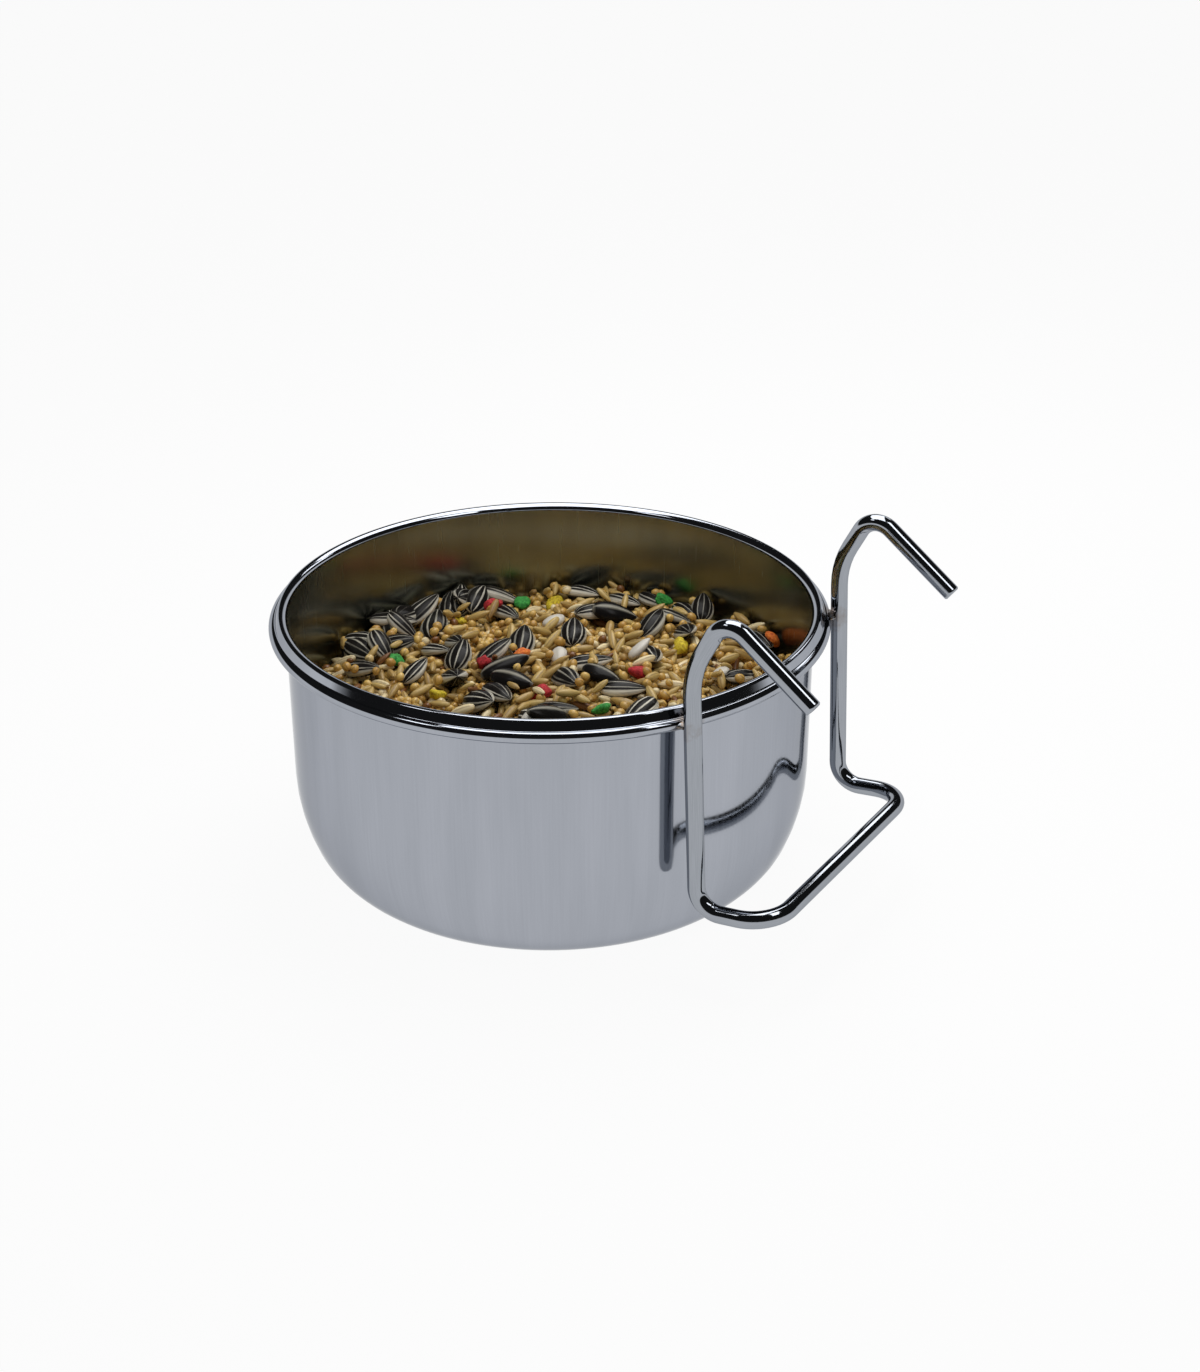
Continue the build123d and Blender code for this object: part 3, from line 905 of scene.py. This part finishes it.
def blended(factor, first, second):
    """Number from first (factor 0) to second (factor 1)."""
    return node(factor.id_data, "Mix", {0: factor, 2: first, 3: second}).outputs[0]


def attribute(tree, name, output):
    """Value of a mesh's own attribute."""
    return node(tree, "Attribute", attribute_name=name).outputs[output]


def object_place(tree):
    """Place on the piece, in metres from the origin."""
    return node(tree, "TexCoord").outputs["Object"]


def scaled(vector, scale):
    """Vector times a scale on each axis."""
    return node(vector.id_data, "Mapping", {"Vector": vector, "Scale": scale}).outputs[0]


def noise(vector, scale, detail=2.0):
    """Smooth noise from 0 to 1."""
    inputs = {"Vector": vector, "Scale": scale, "Detail": detail}
    return node(vector.id_data, "TexNoise", inputs).outputs[0]


def material(name, **constants):
    """New material with a Principled shader and its constant sockets set."""
    made = bpy.data.materials.new(name)
    made.use_nodes = True
    shader = made.node_tree.nodes["Principled BSDF"]
    for socket, value in constants.items():
        shader.inputs[socket.replace("_", " ")].default_value = value
    return made, made.node_tree, shader


def feed(shader, **sockets):
    """Link each output to the shader's socket of that name."""
    for socket, value in sockets.items():
        shader.id_data.links.new(value, shader.inputs[socket.replace("_", " ")])


def bump(shader, height, strength, depth):
    """Small relief from a height of 0 to 1, that many metres deep."""
    inputs = {"Height": height, "Strength": strength, "Distance": depth}
    feed(shader, Normal=node(shader.id_data, "Bump", inputs).outputs[0])


def weld_places():
    """The two points where an upright meets the bead, in metres."""
    outward = unit(np.array([UPRIGHT_X, WIRE_SPACING / 2]))
    x, y = outward * RIM_RADIUS * MM
    height = BEAD_HEIGHT * MM
    return [(x, y, height), (x, -y, height)]


def heat_tint(colour):
    """Colour browned by the weld's heat: most at the weld, none a little further, with a ragged edge."""
    tree = colour.id_data
    place = object_place(tree)
    ragged = maths("MULTIPLY", noise(place, TINT_RAGGED_SCALE), TINT_RAGGED_DEPTH)
    for weld in weld_places():
        far = node(tree, "VectorMath", {0: place, 1: weld}, operation="DISTANCE").outputs["Value"]
        far = maths("ADD", far, ragged)
        colour = mixed(between(far, *TINT_RANGE, TINT_MOST, 0.0), colour, TINT_BROWN)
    return colour


def satin_steel():
    """Drawn sheet: vertical brush lines outside, a duller inside whose colours are painted shade and a
    painted tint of the seed's reflection, and a polished rim.

    The tone is a share of the brush lines plus a share of the patches, and the lines also vary the gloss.
    """
    made, tree, shader = material("satin_steel", Metallic=1.0, Anisotropic=BRUSH_ANISOTROPY,
                                  Specular_Tint=STEEL_EDGE)
    brushed = attribute(tree, "brushed", "Vector")
    rim = attribute(tree, "rim", "Fac")
    outside = attribute(tree, "outside", "Fac")
    lines = noise(scaled(brushed, BRUSH_STRETCH), BRUSH_SCALE, FINE_DETAIL)
    patches = noise(scaled(brushed, PATCH_STRETCH), PATCH_SCALE, FINE_DETAIL)
    grained = maths("MULTIPLY", maths("SUBTRACT", lines, 0.5), BRUSH_GLOSS)
    gloss = blended(rim, maths("ADD", OUTSIDE_ROUGHNESS, grained), RIM_ROUGHNESS)
    tone = maths("ADD", maths("MULTIPLY", lines, BRUSH_SHARE), maths("MULTIPLY", patches, PATCH_SHARE))
    tone = between(tone, *NOISE_RANGE)
    ring = node(tree, "Tangent", direction_type="RADIAL", axis="Z").outputs[0]
    feed(shader, Base_Color=heat_tint(mixed(tone, *STEEL_TONES)), Roughness=gloss, Tangent=ring)
    bump(shader, lines, *BRUSH_BUMP)
    lining = node(tree, "BsdfPrincipled", {"Metallic": 1.0})
    # The inside's colours are painted shade and a painted tint of the seed's reflection, not the steel's own
    # colour.
    feed(lining, Base_Color=mixed(tone, *LINING_PAINTED_SHADE_TONES), Roughness=maths("ADD", INSIDE_ROUGHNESS, grained))
    shows_outside = maths("MAXIMUM", outside, rim)
    both = node(tree, "MixShader", {0: shows_outside, 1: lining.outputs[0], 2: shader.outputs[0]})
    tree.links.new(both.outputs[0], tree.nodes["Material Output"].inputs[0])
    return made


def polished_wire():
    """Bright drawn wire: faint lines along it and small pits, both a little duller."""
    made, tree, shader = material("polished_wire", Metallic=1.0, Specular_Tint=STEEL_EDGE)
    skin = node(tree, "UVMap", uv_map="skin").outputs[0]
    lines = noise(scaled(skin, DRAWN_LINES), 1.0)
    pits = noise(object_place(tree), PIT_SCALE)
    gloss = maths("ADD", between(pits, *PIT_RANGE, WIRE_ROUGHNESS, PIT_ROUGHNESS),
                  maths("MULTIPLY", lines, DRAWN_ROUGHNESS))
    colour = mixed(between(lines, *NOISE_RANGE), WIRE_DARK, WIRE_LIGHT)
    feed(shader, Base_Color=heat_tint(colour), Roughness=gloss)
    bump(shader, pits, *PIT_BUMP)
    return made


def speckled(name, dark, light, scale, detail, relief, **constants):
    """Rough weld or crumb: noise at the place is its colour, from dark to light, and its relief."""
    made, tree, shader = material(name, **constants)
    specks = noise(object_place(tree), scale, detail)
    feed(shader, Base_Color=mixed(between(specks, *SPECK_RANGE), dark, light))
    bump(shader, specks, *relief)
    return made


def skin_place(tree):
    """Place on a grain's skin, how far that is round and along it, and the grain's own random number."""
    place = node(tree, "UVMap", uv_map="skin").outputs[0]
    parts = node(tree, "SeparateXYZ", {0: place})
    return place, parts.outputs[0], parts.outputs[1], attribute(tree, "grain", "Fac")


def another(number, factor):
    """Another random number from a grain's own: the fraction of a multiple of it."""
    return maths("FRACT", maths("MULTIPLY", number, factor))


def fibres(place, grain, around, along):
    """Streaks along a grain: noise with a pitch round and along its skin, shifted for each grain."""
    tree = place.id_data
    shift = node(tree, "CombineXYZ", {2: maths("MULTIPLY", grain, STREAK_SHIFT)}).outputs[0]
    moved = node(tree, "VectorMath", {0: scaled(place, (around, along, 1)), 1: shift}).outputs[0]
    return noise(moved, 1.0, FINE_DETAIL)


def striped_hull():
    """Dark hull with pale stripes along it, pale edges and streaks; the stripes differ by seed.

    A stripe is where cos(2 pi n round + wobble) is over a limit, an edge where |cos(2 pi round)| is near 1.
    """
    made, tree, shader = material("striped_hull", Roughness=HULL_ROUGHNESS, Specular_IOR_Level=HULL_SHINE)
    place, around, _, grain = skin_place(tree)
    streak = fibres(place, grain, *HULL_STREAKS)
    wobble = maths("MULTIPLY", fibres(place, grain, *WOBBLE_STREAKS), STRIPE_WOBBLE)
    phase = maths("MULTIPLY", around, 2 * np.pi * STRIPE_COUNT)
    wave = maths("COSINE", maths("ADD", phase, wobble))
    limit = between(another(grain, STRIPE_DRAW), 0, 1, *STRIPE_LIMITS)
    stripe = between(maths("SUBTRACT", wave, limit), *STRIPE_SOFT)
    strength = between(fibres(place, grain, *FADE_STREAKS), *FADE_RANGE, STRIPE_FAINT, 1.0)
    stripe = maths("MULTIPLY", stripe, strength)
    side = maths("ABSOLUTE", maths("COSINE", maths("MULTIPLY", around, 2 * np.pi)))
    pale = maths("MAXIMUM", stripe, between(side, *EDGE_RANGE))
    pale = maths("MULTIPLY", pale, between(streak, *WORN_RANGE, WORN_LEAST, 1.0))
    pale_colour = mixed(another(grain, PALE_DRAW), HULL_CREAM, HULL_GREY)
    colour = mixed(pale, mixed(streak, *HULL_TONES), pale_colour)
    feed(shader, Base_Color=colour)
    bump(shader, maths("ADD", streak, stripe), *HULL_BUMP)
    return made


def grain_skin(name, dark, light, crease, roughness, streaks, shine, odd):
    """Grain of one colour, from dark to light by seed, with streaks along it, and ends and a crease blended
    towards a third colour, which is painted shade on the grains and the white hulls.

    Where odd, a few of the seeds are rusty husks and a few are pale.
    """
    made, tree, shader = material(name, Roughness=roughness, Specular_IOR_Level=shine)
    place, around, along, grain = skin_place(tree)
    streak = fibres(place, grain, *GRAIN_STREAKS)
    tone = maths("ADD", maths("MULTIPLY", grain, 1 - streaks), maths("MULTIPLY", streak, streaks))
    colour = mixed(tone, dark, light)
    if odd:
        chance = another(grain, ODD_DRAW)
        colour = mixed(between(chance, *RUSTY_CHANCE), colour, RUSTY_HUSK)
        colour = mixed(between(chance, *PALE_CHANCE), colour, PALE_HUSK)
    from_middle = maths("ABSOLUTE", maths("SUBTRACT", along, 0.5))
    from_crease = maths("ABSOLUTE", maths("SUBTRACT", around, CREASE_PLACE))
    end = between(from_middle, *END_RANGE)
    line = between(from_crease, 0.0, CREASE_WIDTH, 1.0, 0.0)
    # Painted shade: the ends and a line along the crease are blended towards the third colour, darker on the
    # grains.
    shade = maths("MULTIPLY", maths("MAXIMUM", end, line), CREASE_STRENGTH)
    feed(shader, Base_Color=mixed(shade, colour, crease))
    bump(shader, streak, *GRAIN_BUMP)
    return made


def mixed_bulk():
    """Bulk of small grains: cells of grain size, each with its own tone, and dark joints between them.

    Its wall has the grains' own colours. Its top, in the shade of the grains that lie on it, is darker.
    """
    made, tree, shader = material("seed_mix", Roughness=BULK_ROUGHNESS)
    place = object_place(tree)
    cells = node(tree, "TexVoronoi", {"Vector": place, "Scale": BULK_CELLS})
    joint = between(cells.outputs["Distance"], *BULK_JOINT_RANGE)
    # Painted shade: the top's cells get darker tones, for the shade of the grains that lie on it.
    shaded = mixed(cells.outputs["Color"], *BULK_PAINTED_SHADE_TONES)
    lit = mixed(cells.outputs["Color"], *GROAT_TONES)
    height = node(tree, "SeparateXYZ", {0: place}).outputs[2]
    on_top = between(height, BED_WALL_TOP * MM, (BED_WALL_TOP + BED_SINK) * MM)
    feed(shader, Base_Color=mixed(joint, mixed(on_top, lit, shaded), BULK_JOINT))
    bump(shader, maths("SUBTRACT", 1.0, joint), *BULK_BUMP)
    return made


def finish_with(piece, made):
    """Give a piece one material and no other."""
    piece.data.materials.clear()
    piece.data.materials.append(made)


# Camera, light and floor

def camera():
    """The photo's camera: its lens is the focal length in pixels times sensor over frame height."""
    data = bpy.data.cameras.new("camera")
    data.sensor_width = SENSOR
    data.lens = FOCAL_PIXELS * SENSOR / FRAME_HEIGHT
    data.clip_start = CLIP_START * MM
    view = in_scene("camera", data)
    view.location = CAMERA_PLACE * MM
    view.rotation_mode = "QUATERNION"
    view.rotation_quaternion = Vector(CAMERA_FORWARD).to_track_quat("-Z", "Y")
    bpy.context.scene.camera = view


def softbox(name, behind, aside, width, depth, turn):
    """Rectangular lamp that faces down, placed from the cup's rim in the camera's directions, in metres.

    Its power is pi times its area times its radiance.
    """
    data = bpy.data.lights.new(name, "AREA")
    data.shape = "RECTANGLE"
    data.size = width
    data.size_y = depth
    data.energy = SOFTBOX_RADIANCE * np.pi * width * depth
    lamp = in_scene(name, data)
    lamp.location = (*(CAMERA_AWAY * behind + CAMERA_RIGHT[:2] * aside), CUP_HEIGHT * MM + SOFTBOX_ABOVE)
    lamp.rotation_euler = (0, 0, np.arctan2(CAMERA_RIGHT[1], CAMERA_RIGHT[0]) + np.radians(turn))


def seen_directly(tree):
    """One for rays of the camera, of mirrors and through glass, and zero for rays that light something."""
    path = node(tree, "LightPath")
    indirect = maths("MAXIMUM", path.outputs["Is Glossy Ray"], path.outputs["Is Transmission Ray"])
    return maths("MAXIMUM", path.outputs["Is Camera Ray"], indirect)


def empty_tree(made):
    """Node tree of a material or a world, without nodes."""
    made.use_nodes = True
    made.node_tree.nodes.clear()
    return made.node_tree


def floor():
    """Pale floor, mostly white where it is seen, with the rest lit, so that it keeps a faint shadow."""
    corners = FLOOR_HALF * np.array([[-1, -1, 0], [1, -1, 0], [1, 1, 0], [-1, 1, 0]])
    mesh = bpy.data.meshes.new("floor")
    mesh.from_pydata(corners.tolist(), [], [(0, 1, 2, 3)])
    plane = in_scene("floor", mesh)
    made = bpy.data.materials.new("floor")
    tree = empty_tree(made)
    matt = node(tree, "BsdfDiffuse", {"Color": (*FLOOR_COLOUR, 1)})
    white = node(tree, "Emission", {"Color": WHITE, "Strength": 1.0})
    share = maths("MULTIPLY", seen_directly(tree), FLOOR_WHITE_SHARE)
    both = node(tree, "MixShader", {0: share, 1: matt.outputs[0], 2: white.outputs[0]})
    node(tree, "OutputMaterial", {0: both.outputs[0]})
    plane.data.materials.append(made)


def world():
    """Studio: bright low down and dark above where it is seen or mirrored, and an even soft light otherwise.

    The height of a direction is its Z, less a rise with how far it points away from the camera, so that the
    bright part reaches higher at the back.
    """
    made = bpy.data.worlds.new("studio")
    bpy.context.scene.world = made
    tree = empty_tree(made)
    toward = node(tree, "TexCoord").outputs["Generated"]
    height = node(tree, "SeparateXYZ", {0: toward}).outputs[2]
    away = node(tree, "VectorMath", {0: toward, 1: (*CAMERA_AWAY, 0)}, operation="DOT_PRODUCT")
    rise = maths("MULTIPLY", maths("MAXIMUM", away.outputs["Value"], 0.0), BACKDROP_RISE)
    height = maths("SUBTRACT", height, rise)
    walls = between(height, *WALLS_RANGE, CEILING_DARK, WALLS_LIGHT)
    level = blended(seen_directly(tree), SOFT_LIGHT, walls)
    light = node(tree, "Background", {"Color": WHITE, "Strength": level})
    node(tree, "OutputWorld", {0: light.outputs[0]})


# Main scene

camera()
world()
floor()
for lamp_name, lamp_values in SOFTBOXES.items():
    softbox(lamp_name, *lamp_values)
finish_with(bowl_piece(), satin_steel())
finish_with(wire_piece(), polished_wire())
weld_finish = speckled("weld_metal", TINT_BROWN, WIRE_DARK, WELD_SCALE, FINE_DETAIL, WELD_BUMP,
                       Metallic=1.0, Roughness=WELD_ROUGHNESS)
for weld_node in ("weld_left", "weld_right"):
    finish_with(frame["nodes"][weld_node], weld_finish)

finish_with(bed_piece(), mixed_bulk())
laid_seeds = fill_heap()
seed_pieces = [("striped_sunflower_seeds", "striped", "striped_hull", "sunflower_striped", striped_hull())]
for piece_name, kind, skin_name, replaced in (
        ("black_sunflower_seeds", "black", "black_hull", "sunflower_black"),
        ("white_safflower_seeds", "white", "white_hull", "safflower_white"),
        ("oat_groat_grains", "groat", "beige_grain", "oat_groats"),
        ("millet_seed_grains", "millet", "golden_grain", "millet_grains")):
    seed_pieces.append((piece_name, kind, skin_name, replaced, grain_skin(skin_name, *SKINS[skin_name])))
for dye, (_, thick, thin) in CRUMBS.items():
    skin_name = dye + "_crumb"
    skin_finish = speckled(skin_name, thick, thin, CRUMB_SCALE, CRUMB_DETAIL, CRUMB_BUMP,
                           Roughness=CRUMB_ROUGHNESS)
    seed_pieces.append((dye + "_crumbs", dye, skin_name, "pellets_" + dye, skin_finish))
for piece_name, kind, slot, replaced, skin_finish in seed_pieces:
    finish_with(grain_piece(piece_name, kind, laid_seeds[kind], replaced), skin_finish)

bpy.context.scene.view_settings.view_transform = "Standard"
